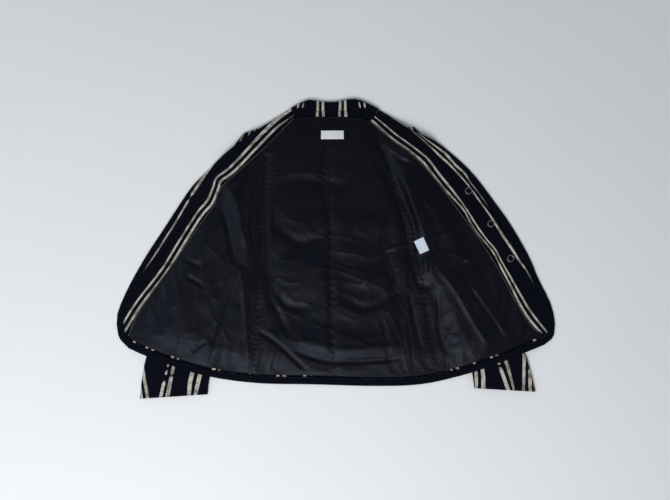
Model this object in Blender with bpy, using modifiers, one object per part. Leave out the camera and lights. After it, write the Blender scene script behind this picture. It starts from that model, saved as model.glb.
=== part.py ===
"""Cropped blazer with a plain edge band, laid open on its back with the lining up.

Sides are the wearer's. The floor is z = 0, +Y runs from the hem to the collar, and the
wearer's right front lies towards -X. Tables are in millimetres.
"""

import bpy
import bmesh
from collections import namedtuple
from functools import lru_cache
from math import cos, hypot, pi, radians, sin
from mathutils import Matrix, Vector
from mathutils.bvhtree import BVHTree

MM = 0.001
TINY = 1e-9

# Thickness of each cloth
SHELL_CLOTH = 1.6
FACING_CLOTH = 1.4
LINING_CLOTH = 1.2
SLEEVE_CLOTH = 2.0
COLLAR_CLOTH = 2.6
NECK_FACING_CLOTH = 3.2
LABEL_CLOTH = 0.6

# Clearances between neighbours
SEAM_GAP = 0.4
LAYER_GAP = 0.4

# Edge band: width, and thickness at its seam, its middle and its outer edge
BAND_WIDTH = 14.0
BAND_PROFILE = (3.4, 3.6, 2.4)
HEM_STRIP = 4.0
FACING_FOOT = 7.0

# Sleeves lie flat under the fronts, which rise over them
SLEEVE_CROWN = 3.2
CROWN_SHARPNESS = 3
SLEEVE_COVER = 9.5
RAMP_OUTSIDE = 24.0
RAMP_INSIDE = 4.0

# The fronts rise over the back's shoulders and armholes, and this far past them
BACK_COVER = 2.6
BACK_COVER_PAST = 10.0
BACK_COVER_RAMP = 12.0

# The net that the body's layers share
ROWS = 28
BACK_COLUMNS = 24
SIDE_COLUMNS = 3
LINING_COLUMNS = 11
FACING_COLUMNS = 3
SIDE_LINING_TOP = 17
SLEEVE_ROWS = 18
SLEEVE_COLUMNS = 6

# The lining is cut full: it rests this far above the shell, and less towards its seams
LINING_EASE = 3.5
EASE_CELLS = 1.5

COLLAR_RISE = 6.0
COLLAR_BEND = 1.5
COLLAR_COLUMNS = 14
COLLAR_ROWS = 2

SNAP_SIDES = 20
SNAP_RADIUS = 7.0
SNAP_MERGE = 0.01
STUD_COVER = 2.4
STUD_PAD = 22.0
STUD_PAD_RAMP = 22.0

LABEL_GAP = 0.5
CARE_LABEL_GAP = 0.9
LABEL_CELL = 6.0
LABEL_REACH = 1.0
PROBE_HEIGHT = 1000.0
WAY_STEP = 1.0
RING = [pi / 6 * step for step in range(12)]

Colour = namedtuple("Colour", "red green blue roughness metallic")
TWEED = Colour(0.010, 0.014, 0.035, 0.85, 0.0)
BAND_CLOTH = Colour(0.008, 0.011, 0.030, 0.70, 0.0)
SATIN = Colour(0.018, 0.021, 0.040, 0.35, 0.0)
LABEL_TAPE = Colour(0.80, 0.80, 0.80, 0.60, 0.0)
STEEL = Colour(0.55, 0.56, 0.58, 0.30, 1.0)

# Outer edge of the garment from the collar's right end, round the hem, to its left end
RIGHT_EDGE = (
    (-90, 281), (-123, 260), (-172, 228), (-224, 188), (-257, 156), (-293, 117),
    (-334, 54), (-379, -16), (-411, -73), (-433, -123), (-437, -150),
)
RIGHT_CORNER = ((-432, -178), (-415, -199), (-382, -214))
HEM = (
    (-331, -233), (-251, -257), (-155, -270), (-40, -272.5), (66, -275.5),
    (162, -273), (238, -258), (305, -237),
)
LEFT_CORNER = ((377, -209), (419, -192), (435, -174))
LEFT_EDGE = (
    (437, -150), (429, -112), (404, -60), (387, -18), (351, 46), (316, 96),
    (282, 142), (245, 180), (197, 217), (153, 236), (107, 267), (87, 279),
)
CORNER_RIGHT_AT = (-433, -176)
CORNER_LEFT_AT = (434, -176)
SIDE_RIGHT_AT = (-173, -268)
SIDE_LEFT_AT = (230, -260)
HEM_CENTRE_AT = (-10, -273)

# Seam between facing and lining, from the neck down to its last stretch at the hem
RIGHT_FACING_SEAM = (
    (-87, 261), (-137, 208), (-181, 166), (-225, 126), (-239, 103), (-242, 88),
    (-281, 33), (-321, -26), (-360, -80), (-397, -135),
)
LEFT_FACING_SEAM = (
    (70, 256), (116, 215), (155, 185), (198, 139), (231, 95), (265, 49),
    (294, 9), (326, -43), (363, -113), (394, -160),
)

# Shoulder, armhole and side seam in one line from the neck to its last stretch at the hem
RIGHT_SIDE_SEAM = (
    (-76, 262), (-92, 232), (-110, 197), (-133, 152), (-148, 105), (-149, 60),
    (-147, 10), (-149, -45), (-157, -105), (-169, -175),
)
LEFT_SIDE_SEAM = (
    (60, 258), (68, 228), (75, 196), (91, 168), (110, 135), (131, 95), (148, 60),
    (156, 30), (160, -5), (169, -55), (189, -105), (209, -177),
)

NECK_LINE = ((-87, 261), (-76, 262), (-39, 264), (21, 264), (60, 258), (70, 256))
COLLAR_SEAM = ((-81.5, 270), (-39, 276), (21, 276), (78.8, 267.8))
COLLAR_TOP = (
    (-89, 282), (-65, 295), (-52, 299), (-23, 295), (0, 295), (32, 300.8),
    (55, 296), (86, 280),
)

# Shoulder of the back's outer cloth from the neck to the sleeve, which it is sewn to
RIGHT_SHOULDER = ((-80, 261.5), (-118, 253))
LEFT_SHOULDER = ((64, 257.5), (94, 250))
SIDE_SEAM_FROM = -100
SIDE_CLEARANCE = 0.4

# Sleeves from shoulder and underarm to the cuff
RIGHT_SLEEVE_OUTER = (
    (-157, 241), (-167, 243), (-181, 235), (-195, 221), (-207, 203), (-220, 172),
    (-240, 120), (-285, 10), (-337, -120), (-372, -200), (-384, -255), (-388.2, -300.8),
)
RIGHT_SLEEVE_INNER = (
    (-172, -29), (-183, -65), (-207, -129), (-231, -195), (-250, -257), (-254, -292),
)
LEFT_SLEEVE_OUTER = (
    (124, 243), (140, 247), (152, 246), (165, 240), (177, 229), (188, 205),
    (208, 160), (255, 50), (308, -95), (345, -165), (377, -212), (396, -287),
)
LEFT_SLEEVE_INNER = (
    (179, -29), (194, -65), (229, -141), (257, -209), (270, -245), (275, -280),
)

# Width of the side lining at a row, as a share of the front lining
SIDE_SHARE_TOP = 0.20
SIDE_SHARE_HEM = 0.32
SIDE_SHARE_FROM = 0.6

# The lining's largest folds: a ridge has a height above 0, a valley below
Fold = namedtuple("Fold", "start_x start_y bend_x bend_y end_x end_y height half_width")
FOLDS = (
    Fold(-143, 215, -143, 65, -137, -95, -5.0, 20),
    Fold(-135, -89, -113, -135, -93, -177, -3.5, 16),
    Fold(-163, 185, -161, 95, -161, -15, -3.0, 14),
    Fold(-213, 150, -195, 85, -177, -5, 8.0, 24),
    Fold(-189, -29, -181, -105, -175, -237, 6.0, 12),
    Fold(-227, 85, -213, 25, -199, -41, -3.5, 14),
    Fold(-215, 151, -181, 165, -147, 195, 4.0, 14),
    Fold(-307, -19, -285, -31, -263, -41, -2.5, 12),
    Fold(73, 251, 118, 115, 155, -5, -5.0, 20),
    Fold(155, -29, 169, -75, 201, -75, -3.5, 18),
    Fold(133, 155, 160, 85, 179, 15, 6.0, 18),
    Fold(179, -15, 183, -41, 181, -61, 4.0, 14),
    Fold(79, 215, 119, 195, 169, 165, 4.0, 14),
    Fold(197, -35, 239, -89, 307, -205, 3.5, 13),
    Fold(203, -85, 209, -177, 225, -221, -2.5, 12),
    Fold(-127, 119, -71, 135, 33, 119, -2.5, 26),
    Fold(-121, 39, -71, 9, -11, 31, -2.5, 24),
    Fold(-1, -89, 59, -121, 129, -85, -3.0, 24),
    Fold(-135, -75, -95, -115, -51, -121, -2.5, 20),
    Fold(-11, 195, -11, -5, -10, -225, -2.0, 12),
    Fold(-101, -201, -1, -227, 151, -219, -3.0, 13),
    Fold(-101, -181, 9, -200, 151, -195, 2.5, 22),
)

SNAP_SOCKETS = ((266.6, 114.2), (311.0, 48.0), (349.6, -22.0))
SNAP_STUDS = ((-264.0, 108.0), (-307.0, 42.0), (-346.0, -28.0))
# Turned outlines as radius and height, from the top's middle round the rim to the underside
SOCKET_OUTLINE = (
    (0, 0.8), (3.4, 0.8), (3.8, 1.7), (5.2, 2.0), (6.6, 1.5), (SNAP_RADIUS, 0.7),
    (SNAP_RADIUS, 0), (0, 0),
)
STUD_OUTLINE = ((0, 1.7), (6.2, 1.7), (6.5, 1.2), (3.0, 0.9), (2.6, 0.1), (0, 0.1))

Label = namedtuple("Label", "x y width height turn gap")
NECK_LABEL = Label(-6.6, 226.6, 46, 18, 0, LABEL_GAP)
CARE_LABEL = Label(171, 3, 20, 29, 24, CARE_LABEL_GAP)
LABEL_PAD = 36.0
LABEL_PAD_RAMP = 22.0


def ramp(share):
    """Smooth step from 0 to 1."""
    t = min(max(share, 0.0), 1.0)
    return t * t * (3 - 2 * t)


def bell(share):
    """1 at the middle, 0 from a share of 1 on."""
    return 0.5 * (1 + cos(pi * min(abs(share), 1.0)))


def nearest_on(start, end, point):
    """Nearest point to a point on a straight stretch."""
    along = end - start
    share = (point - start).dot(along) / max(along.length_squared, TINY)
    return start + along * min(max(share, 0.0), 1.0)


def depth_in(outline, x, y):
    """Distance in from a closed outline, below 0 outside it."""
    point = Vector((x, y))
    inside = False
    nearest = float("inf")
    last = outline[-1]
    for here in outline:
        nearest = min(nearest, (nearest_on(last, here, point) - point).length)
        if (here.y > y) != (last.y > y):
            if x < (last.x - here.x) * (y - here.y) / (last.y - here.y) + here.x:
                inside = not inside
        last = here
    return nearest if inside else -nearest


class Line:
    """Line through a few points, smooth or straight from each to the next."""

    def __init__(self, table, steps=6):
        points = [Vector(row) for row in table]
        ends = [2 * points[0] - points[1]] + points + [2 * points[-1] - points[-2]]
        self.samples = []
        for before, start, end, after in zip(ends, ends[1:], ends[2:], ends[3:]):
            for step in range(steps):
                t = step / steps
                leave = (end - before) / 2
                arrive = (after - start) / 2
                self.samples.append(
                    start * (2 * t**3 - 3 * t**2 + 1)
                    + leave * (t**3 - 2 * t**2 + t)
                    + end * (3 * t**2 - 2 * t**3)
                    + arrive * (t**3 - t**2)
                )
        self.samples.append(points[-1])
        self.reach = [0.0]
        for start, end in zip(self.samples, self.samples[1:]):
            self.reach.append(self.reach[-1] + (end - start).length)
        self.length = self.reach[-1]

    def at(self, distance):
        distance = min(max(distance, 0.0), self.length)
        for index in range(len(self.samples) - 1):
            if distance <= self.reach[index + 1]:
                span = self.reach[index + 1] - self.reach[index]
                share = (distance - self.reach[index]) / span
                return self.samples[index].lerp(self.samples[index + 1], share)
        return self.samples[-1].copy()

    def share(self, share):
        return self.at(share * self.length)

    def inward(self, distance):
        """Unit vector to the left of the line's way."""
        way = self.at(distance + WAY_STEP) - self.at(distance - WAY_STEP)
        return Vector((-way.y, way.x)).normalized()

    def beside(self, distance, width):
        return self.at(distance) + self.inward(distance) * width

    def station(self, x, y):
        """Distance along the line nearest to a point."""
        point = Vector((x, y))
        gaps = [(sample - point).length for sample in self.samples]
        return self.reach[gaps.index(min(gaps))]


class Sleeve:
    """Flat outline of a sleeve between its outer and inner edges."""

    def __init__(self, outer, inner):
        self.outer = Line(outer)
        self.inner = Line(inner)
        self.outline = self.outer.samples + self.inner.samples[::-1]

    def net(self):
        rows = []
        for row in range(SLEEVE_ROWS + 1):
            start = self.outer.share(row / SLEEVE_ROWS)
            end = self.inner.share(row / SLEEVE_ROWS)
            rows.append([start.lerp(end, c / SLEEVE_COLUMNS) for c in range(SLEEVE_COLUMNS + 1)])
        return rows


class BackSide:
    """Side of the back's outer cloth, and what of it lies under the front."""

    def __init__(self, shoulder, sleeve, side_seam):
        self.shoulder = shoulder
        armhole = [sleeve.outer.samples[0], sleeve.inner.samples[0]]
        start = [Vector(row) for row in shoulder] + armhole
        below = [point for point in side_seam.samples if point.y < SIDE_SEAM_FROM]
        above = [point for point in side_seam.samples if point.y >= SIDE_SEAM_FROM]
        clear = Vector((SIDE_CLEARANCE if start[0].x < 0 else -SIDE_CLEARANCE, 0))
        self.line = Line(start + [point + clear for point in below], steps=1)
        self.covered = start + above[::-1]


EDGE = Line(RIGHT_EDGE + RIGHT_CORNER + HEM + LEFT_CORNER + LEFT_EDGE)
SLEEVE_RIGHT = Sleeve(RIGHT_SLEEVE_OUTER, RIGHT_SLEEVE_INNER)
SLEEVE_LEFT = Sleeve(LEFT_SLEEVE_OUTER, LEFT_SLEEVE_INNER)


@lru_cache(maxsize=None)
def rise(x, y):
    """Height of the fronts' outer cloth over a sleeve, the back's edge or a snap stud."""
    sleeve = SLEEVE_RIGHT if x < 0 else SLEEVE_LEFT
    back = BACK_RIGHT if x < 0 else BACK_LEFT
    over = depth_in(sleeve.outline, x, y) + RAMP_OUTSIDE
    height = SLEEVE_COVER * ramp(over / (RAMP_OUTSIDE + RAMP_INSIDE))
    past = -depth_in(back.covered, x, y) - BACK_COVER_PAST
    height = max(height, BACK_COVER * ramp(1 - past / BACK_COVER_RAMP))
    for stud_x, stud_y in SNAP_STUDS:
        away = hypot(x - stud_x, y - stud_y) - STUD_PAD
        height = max(height, STUD_COVER * ramp(1 - away / STUD_PAD_RAMP))
    return height


def fold_height(fold, point):
    """Height that one fold gives the lining at a point."""
    start = Vector((fold.start_x, fold.start_y))
    bend = Vector((fold.bend_x, fold.bend_y))
    end = Vector((fold.end_x, fold.end_y))
    first = (nearest_on(start, bend, point) - point).length
    second = (nearest_on(bend, end, point) - point).length
    return fold.height * bell(min(first, second) / fold.half_width)


@lru_cache(maxsize=None)
def fullness(x, y):
    """Height of the lining's underside above the layer it lies on."""
    point = Vector((x, y))
    height = LINING_EASE + sum(fold_height(fold, point) for fold in FOLDS)
    away = hypot(x - NECK_LABEL.x, y - NECK_LABEL.y) - LABEL_PAD
    pad = ramp(1 - away / LABEL_PAD_RAMP)
    return max(height * (1 - pad) + LINING_EASE * pad, 0.0)


def panel_point(top, bottom, start, end, u, v):
    """Point of a panel between a top, a bottom and two side lines."""
    across = start(v) * (1 - u) + end(v) * u
    down = top(u) * (1 - v) + bottom(u) * v
    high = top(0) * (1 - u) + top(1) * u
    low = bottom(0) * (1 - u) + bottom(1) * u
    return across + down - high * (1 - v) - low * v


class Front:
    """Net of one front: lining columns from the side seam out, then facing columns."""

    def __init__(self, side_seam, facing_seam, neck, corner_at, side_at):
        self.neck = neck
        self.corner = EDGE.station(*corner_at)
        self.side = EDGE.station(*side_at)
        self.turn = 1 if self.corner > neck else -1
        self.hem_end = self.corner + self.turn * FACING_FOOT
        self.side_seam = Line(side_seam + (self.lining_hem(0),))
        self.facing_seam = Line(facing_seam + (self.lining_hem(1),))

    def edge_station(self, row):
        """Place of a row on the garment's edge."""
        if row > ROWS:
            return self.corner
        last = self.corner - self.turn * HEM_STRIP
        return self.neck + (last - self.neck) * row / ROWS

    def hem_station(self, share):
        return self.side + (self.hem_end - self.side) * share

    def lining_hem(self, share):
        return EDGE.beside(self.hem_station(share), BAND_WIDTH + HEM_STRIP)

    def columns(self, row):
        """Shares of the lining's width at which its columns stand."""
        late = max(0.0, (row / ROWS - SIDE_SHARE_FROM) / (1 - SIDE_SHARE_FROM))
        side = SIDE_SHARE_TOP + (SIDE_SHARE_HEM - SIDE_SHARE_TOP) * late
        near = [side * c / SIDE_COLUMNS for c in range(SIDE_COLUMNS)]
        wide = LINING_COLUMNS - SIDE_COLUMNS
        return near + [side + (1 - side) * c / wide for c in range(wide + 1)]

    def lining_row(self, row):
        start = self.side_seam.share(0)
        end = self.facing_seam.share(0)

        def top(u):
            return start.lerp(end, u)

        sides = (self.side_seam.share, self.facing_seam.share)
        v = row / ROWS
        return [panel_point(top, self.lining_hem, *sides, u, v) for u in self.columns(row)]

    def net(self):
        rows = []
        for row in range(ROWS + 1):
            lining = self.lining_row(row)
            outer = EDGE.beside(self.edge_station(row), BAND_WIDTH)
            rows.append(lining + self.facing_points(lining[-1], outer))
        strip = [
            EDGE.beside(self.hem_station(u), BAND_WIDTH) for u in self.columns(ROWS)
        ]
        rows.append(strip + self.facing_points(strip[-1], EDGE.beside(self.corner, BAND_WIDTH)))
        return rows

    def facing_points(self, seam, outer):
        return [seam.lerp(outer, c / FACING_COLUMNS) for c in range(1, FACING_COLUMNS + 1)]

    def band_stations(self):
        down = [self.edge_station(row) for row in range(ROWS + 2)]
        along = [self.hem_station(u) for u in reversed(self.columns(ROWS))]
        return down + along


def back_nets():
    """Nets of the back's lining and outer cloth, and the places of its hem's columns."""
    neck = Line(NECK_LINE)
    right = FRONT_RIGHT
    left = FRONT_LEFT
    neck_right = neck.station(*RIGHT_SIDE_SEAM[0])
    neck_left = neck.station(*LEFT_SIDE_SEAM[0])
    centre = EDGE.station(*HEM_CENTRE_AT)

    shell_right = neck.station(*BACK_RIGHT.shoulder[0])
    shell_left = neck.station(*BACK_LEFT.shoulder[0])

    def top(u):
        return neck.at(neck_right + (neck_left - neck_right) * u)

    def shell_top(u):
        return neck.at(shell_right + (shell_left - shell_right) * u)

    def station(u):
        if u < 0.5:
            return right.side + (centre - right.side) * 2 * u
        return centre + (left.side - centre) * (2 * u - 1)

    def bottom(u):
        return EDGE.beside(station(u), BAND_WIDTH + HEM_STRIP)

    shares = [c / BACK_COLUMNS for c in range(BACK_COLUMNS + 1)]
    seams = (right.side_seam.share, left.side_seam.share)
    sides = (BACK_RIGHT.line.share, BACK_LEFT.line.share)
    lining = []
    shell = []
    for row in range(ROWS + 1):
        v = row / ROWS
        lining.append([panel_point(top, bottom, *seams, u, v) for u in shares])
        shell.append([panel_point(shell_top, bottom, *sides, u, v) for u in shares])
    shell.append([EDGE.beside(station(u), BAND_WIDTH) for u in shares])
    return lining, shell, [station(u) for u in shares]


FRONT_RIGHT = Front(RIGHT_SIDE_SEAM, RIGHT_FACING_SEAM, 0.0, CORNER_RIGHT_AT, SIDE_RIGHT_AT)
FRONT_LEFT = Front(
    LEFT_SIDE_SEAM, LEFT_FACING_SEAM, EDGE.length, CORNER_LEFT_AT, SIDE_LEFT_AT
)
BACK_RIGHT = BackSide(RIGHT_SHOULDER, SLEEVE_RIGHT, FRONT_RIGHT.side_seam)
BACK_LEFT = BackSide(LEFT_SHOULDER, SLEEVE_LEFT, FRONT_LEFT.side_seam)


def make_material(name, colour):
    material = bpy.data.materials.new(name)
    material.use_nodes = True
    surface = material.node_tree.nodes["Principled BSDF"]
    surface.inputs["Base Color"].default_value = (colour.red, colour.green, colour.blue, 1)
    surface.inputs["Roughness"].default_value = colour.roughness
    surface.inputs["Metallic"].default_value = colour.metallic
    return material


def add_object(name, mesh, material):
    mesh.materials.append(material)
    piece = bpy.data.objects.new(name, mesh)
    bpy.data.collections["blazer"].objects.link(piece)
    return piece


def add_wall(name, net, base, thickness, material, keep=None):
    """Cloth on a net of points: underside at base(row, column, x, y), then straight up."""
    rows = len(net) - 1
    columns = len(net[0]) - 1
    sheet = bmesh.new()
    bmesh.ops.create_grid(sheet, x_segments=columns, y_segments=rows, size=1)
    wall = sheet.verts.layers.float.new("wall")
    if keep:
        dropped = []
        for face in sheet.faces:
            middle = face.calc_center_median()
            row = int((1 - middle.y) / 2 * rows)
            column = int((middle.x + 1) / 2 * columns)
            if not keep(row, column):
                dropped.append(face)
        bmesh.ops.delete(sheet, geom=dropped, context="FACES")
    for corner in sheet.verts:
        row = round((1 - corner.co.y) / 2 * rows)
        column = round((corner.co.x + 1) / 2 * columns)
        x, y = net[row][column]
        corner[wall] = thickness(column) if callable(thickness) else thickness
        corner.co = Vector((x, y, base(row, column, x, y))) * MM
    bmesh.ops.triangulate(sheet, faces=list(sheet.faces), quad_method="FIXED")
    rim = bmesh.ops.inset_region(
        sheet, faces=list(sheet.faces), thickness=SEAM_GAP / 2 * MM, use_boundary=True,
        use_even_offset=True,
    )
    bmesh.ops.delete(sheet, geom=rim["faces"], context="FACES")
    raised = bmesh.ops.extrude_face_region(sheet, geom=list(sheet.faces), use_keep_orig=True)
    for item in raised["geom"]:
        if isinstance(item, bmesh.types.BMVert):
            item.co.z += item[wall] * MM
    bmesh.ops.recalc_face_normals(sheet, faces=list(sheet.faces))
    mesh = bpy.data.meshes.new(name)
    sheet.to_mesh(mesh)
    sheet.free()
    return add_object(name, mesh, material)


def seam_fade(cells):
    """How full the lining is this many cells from a seam."""
    return ramp(cells / EASE_CELLS)


def lay_front(side, front, shell, satin):
    """Outer cloth, facing and linings of one front."""
    net = front.net()
    lining_net = [row[: LINING_COLUMNS + 1] for row in net[: ROWS + 1]]

    def on_floor(row, column, x, y):
        return rise(x, y)

    def on_shell(row, column, x, y):
        return rise(x, y) + SHELL_CLOTH + LAYER_GAP

    def lining(row, column, x, y):
        fade = seam_fade(LINING_COLUMNS - column) * seam_fade(ROWS - row) * seam_fade(row)
        return on_shell(row, column, x, y) + fade * fullness(x, y)

    def side_piece(row, column):
        return row >= SIDE_LINING_TOP and column < SIDE_COLUMNS

    def front_piece(row, column):
        return not side_piece(row, column)

    facing_net = [row[LINING_COLUMNS:] for row in net[: ROWS + 1]]
    add_wall("front_shell_" + side, net, on_floor, SHELL_CLOTH, shell)
    facing = add_wall("facing_" + side, facing_net, on_shell, FACING_CLOTH, shell)
    return facing, [
        add_wall("lining_front_" + side, lining_net, lining, LINING_CLOTH, satin, front_piece),
        add_wall("lining_side_" + side, lining_net, lining, LINING_CLOTH, satin, side_piece),
    ]


def lay_back(lining_net, shell_net, shell, satin):
    """Outer cloth and both linings of the back."""
    centre = BACK_COLUMNS // 2

    def on_floor(row, column, x, y):
        return 0.0

    def lining(row, column, x, y):
        fade = seam_fade(ROWS - row) * seam_fade(row)
        return rise(x, y) + SHELL_CLOTH + LAYER_GAP + fade * fullness(x, y)

    def right_half(row, column):
        return column < centre

    def left_half(row, column):
        return column >= centre

    add_wall("back_shell", shell_net, on_floor, SHELL_CLOTH, shell)
    return [
        add_wall("lining_back_right", lining_net, lining, LINING_CLOTH, satin, right_half),
        add_wall("lining_back_left", lining_net, lining, LINING_CLOTH, satin, left_half),
    ]


def lay_band(name, stations, cloth):
    """Flat band along the garment's edge between the given places."""
    widths = (BAND_WIDTH, BAND_WIDTH / 2, 0.0)
    net = [[EDGE.beside(place, width) for width in widths] for place in stations]

    def on_floor(row, column, x, y):
        return rise(x, y)

    def thickness(column):
        return BAND_PROFILE[column]

    add_wall(name, net, on_floor, thickness, cloth)


def lay_sleeve(side, sleeve, shell):
    """Under and top sleeve, one on the other."""
    net = sleeve.net()

    def under(row, column, x, y):
        return 0.0

    def top(row, column, x, y):
        crown = (1 - abs(2 * column / SLEEVE_COLUMNS - 1) ** CROWN_SHARPNESS) * SLEEVE_CROWN
        return SLEEVE_CLOTH + LAYER_GAP + crown

    add_wall("sleeve_under_" + side, net, under, SLEEVE_CLOTH, shell)
    add_wall("sleeve_top_" + side, net, top, SLEEVE_CLOTH, shell)


def lay_neck(shell):
    """Neck facing between lining and collar, and the collar, which lifts to its edge."""
    lining_line = Line(NECK_LINE)
    seam = Line(COLLAR_SEAM)
    top = Line(COLLAR_TOP)
    shares = [c / COLLAR_COLUMNS for c in range(COLLAR_COLUMNS + 1)]
    facing_net = [[seam.share(u) for u in shares], [lining_line.share(u) for u in shares]]
    collar_net = [
        [top.share(u).lerp(seam.share(u), row / COLLAR_ROWS) for u in shares]
        for row in range(COLLAR_ROWS + 1)
    ]

    def flat(row, column, x, y):
        return 0.0

    def lifted(row, column, x, y):
        return COLLAR_RISE * (1 - row / COLLAR_ROWS) ** COLLAR_BEND

    add_wall("neck_facing", facing_net, flat, NECK_FACING_CLOTH, shell)
    add_wall("collar", collar_net, lifted, COLLAR_CLOTH, shell)


def add_turned(name, outline, x, y, z, material):
    """Round piece turned from half of its outline."""
    mesh = bpy.data.meshes.new(name)
    points = [(radius * MM, 0, height * MM) for radius, height in outline]
    mesh.from_pydata(points, [(i, i + 1) for i in range(len(points) - 1)], [])
    piece = add_object(name, mesh, material)
    piece.location = Vector((x, y, z)) * MM
    turned = piece.modifiers.new("turned", "SCREW")
    turned.steps = SNAP_SIDES
    turned.render_steps = SNAP_SIDES
    turned.use_merge_vertices = True
    turned.merge_threshold = SNAP_MERGE * MM


def surface_trees(pieces):
    """Search trees of the pieces that something else lies on."""
    trees = []
    for piece in pieces:
        mesh = bmesh.new()
        mesh.from_mesh(piece.data)
        trees.append(BVHTree.FromBMesh(mesh))
        mesh.free()
    return trees


def height_on(trees, x, y, reach):
    """Highest cloth at a point and on a ring round it, so that a seam's gap doesn't count."""
    ring = [(reach * cos(turn), reach * sin(turn)) for turn in RING]
    heights = []
    for step_x, step_y in [(0, 0)] + ring:
        above = Vector((x + step_x, y + step_y, PROBE_HEIGHT)) * MM
        for tree in trees:
            hit = tree.ray_cast(above, Vector((0, 0, -1)))[0]
            if hit:
                heights.append(hit.z / MM)
    return max(heights)


def add_label(name, label, linings, material):
    """Woven label laid on the lining."""
    trees = surface_trees(linings)
    columns = round(label.width / LABEL_CELL)
    rows = round(label.height / LABEL_CELL)
    turn = Matrix.Rotation(radians(label.turn), 2)
    middle = Vector((label.x, label.y))
    net = []
    for row in range(rows + 1):
        down = label.height * (0.5 - row / rows)
        across = [label.width * (c / columns - 0.5) for c in range(columns + 1)]
        net.append([middle + turn @ Vector((step, down)) for step in across])

    def on_lining(row, column, x, y):
        return height_on(trees, x, y, LABEL_REACH) + label.gap

    add_wall(name, net, on_lining, LABEL_CLOTH, material)


def main():
    for piece in list(bpy.data.objects):
        bpy.data.objects.remove(piece)
    bpy.context.scene.collection.children.link(bpy.data.collections.new("blazer"))

    tweed = make_material("navy_tweed", TWEED)
    band = make_material("navy_band", BAND_CLOTH)
    satin = make_material("navy_satin", SATIN)
    tape = make_material("label_tape", LABEL_TAPE)
    steel = make_material("snap_steel", STEEL)

    back_lining, back_shell, hem_stations = back_nets()

    back_linings = lay_back(back_lining, back_shell, tweed, satin)
    right_linings = lay_front("right", FRONT_RIGHT, tweed, satin)[1]
    left_facing, left_linings = lay_front("left", FRONT_LEFT, tweed, satin)
    linings = back_linings + right_linings + left_linings
    lay_band("edge_band_right", FRONT_RIGHT.band_stations(), band)
    lay_band("edge_band_hem", hem_stations, band)
    lay_band("edge_band_left", FRONT_LEFT.band_stations(), band)
    lay_sleeve("right", SLEEVE_RIGHT, tweed)
    lay_sleeve("left", SLEEVE_LEFT, tweed)
    lay_neck(tweed)

    facing_trees = surface_trees([left_facing])
    for number, (x, y) in enumerate(SNAP_SOCKETS, 1):
        seat = height_on(facing_trees, x, y, SNAP_RADIUS) + LAYER_GAP
        add_turned(f"snap_socket_{number}", SOCKET_OUTLINE, x, y, seat, steel)
    for number, (x, y) in enumerate(SNAP_STUDS, 1):
        add_turned(f"snap_stud_{number}", STUD_OUTLINE, x, y, 0.0, steel)
    add_label("label_neck", NECK_LABEL, linings, tape)
    add_label("label_care", CARE_LABEL, linings, tape)


main()
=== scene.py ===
"""Cropped blazer laid open on its back with the satin lining up, on a pale floor.

Sides are the wearer's: the right front lies towards -X. Sizes are in metres, but thicknesses
and the tables of stripes, folds, stitches and snaps are in millimetres.
"""

from collections import namedtuple
from math import cos, pi, radians, sin

import bmesh
import bpy
import numpy as np
from mathutils import Euler, Matrix, Vector, noise
from mathutils.bvhtree import BVHTree
from mathutils.kdtree import KDTree


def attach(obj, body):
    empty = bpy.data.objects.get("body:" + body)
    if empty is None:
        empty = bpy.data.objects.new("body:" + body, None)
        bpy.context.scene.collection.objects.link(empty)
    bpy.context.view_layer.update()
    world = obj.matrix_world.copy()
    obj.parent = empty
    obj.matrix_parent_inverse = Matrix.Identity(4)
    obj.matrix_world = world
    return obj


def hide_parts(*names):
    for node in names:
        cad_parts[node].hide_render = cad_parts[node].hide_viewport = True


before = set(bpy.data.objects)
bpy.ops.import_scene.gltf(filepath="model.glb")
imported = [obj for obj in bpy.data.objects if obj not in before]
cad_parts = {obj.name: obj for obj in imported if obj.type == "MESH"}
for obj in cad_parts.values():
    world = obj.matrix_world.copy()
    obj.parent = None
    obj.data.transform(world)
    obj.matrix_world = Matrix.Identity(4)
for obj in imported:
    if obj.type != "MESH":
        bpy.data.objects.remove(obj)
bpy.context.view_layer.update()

MM = 0.001
MERGE = 0.00001

# A face belongs to its cloth's upper side from this rise of its normal on, and a look down on
# a surface starts this far above a place
UPPER = 0.2
ABOVE = Vector((0, 0, 0.05))
DOWN = (0, 0, -1)

# Mesh sizes of each cloth, the cuffs' finer one and the height it starts below, how many cells
# long an edge may be, how often edges are cut and heights evened out, and the width below
# which a cloth gets the trim's sizes
LINING_CELLS = (0.012, 0.006, 0.0032)
SHELL_CELLS = (0.014, 0.007)
TRIM_CELLS = (0.008, 0.0042)
LABEL_CELLS = (0.003, 0.0015)
CUFF_CELL = 0.0021
CUFF_TOP = -0.195
LONG_EDGE = 1.35
PASSES = 6
EVENING = 6
NARROW = 0.1

# Rolled rim of a cloth: the widths of its inner and outer ring, and how far the edge and the
# ring next to it drop
Rim = namedtuple("Rim", "inner outer edge_drop ring_drop")
RIM = Rim(0.0017, 0.0006, 0.00075, 0.00022)
SATIN_RIM = Rim(0.0006, 0.00025, 0.00034, 0.00014)
LEAST_WALL = 0.0001

# Striped cloth: one repeat holds a pair of metallic stripes, half a pair's width in millimetres
# either side of its middle, and no stripe shows this far beyond the last one
REPEAT = 0.050
STRIPE = 0.0062
HALF_PAIR = 6.3
STRIPE_FROM_MIDDLE = HALF_PAIR * MM
BEYOND = 0.006

# Pitches of what is woven in: the ribs across a metallic stripe, and the threads of each cloth
RIB_PITCH = 0.0024
TWEED_PITCH = 0.0016
WEFT_PITCH = 0.0009
TAPE_PITCH = 0.0008

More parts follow.
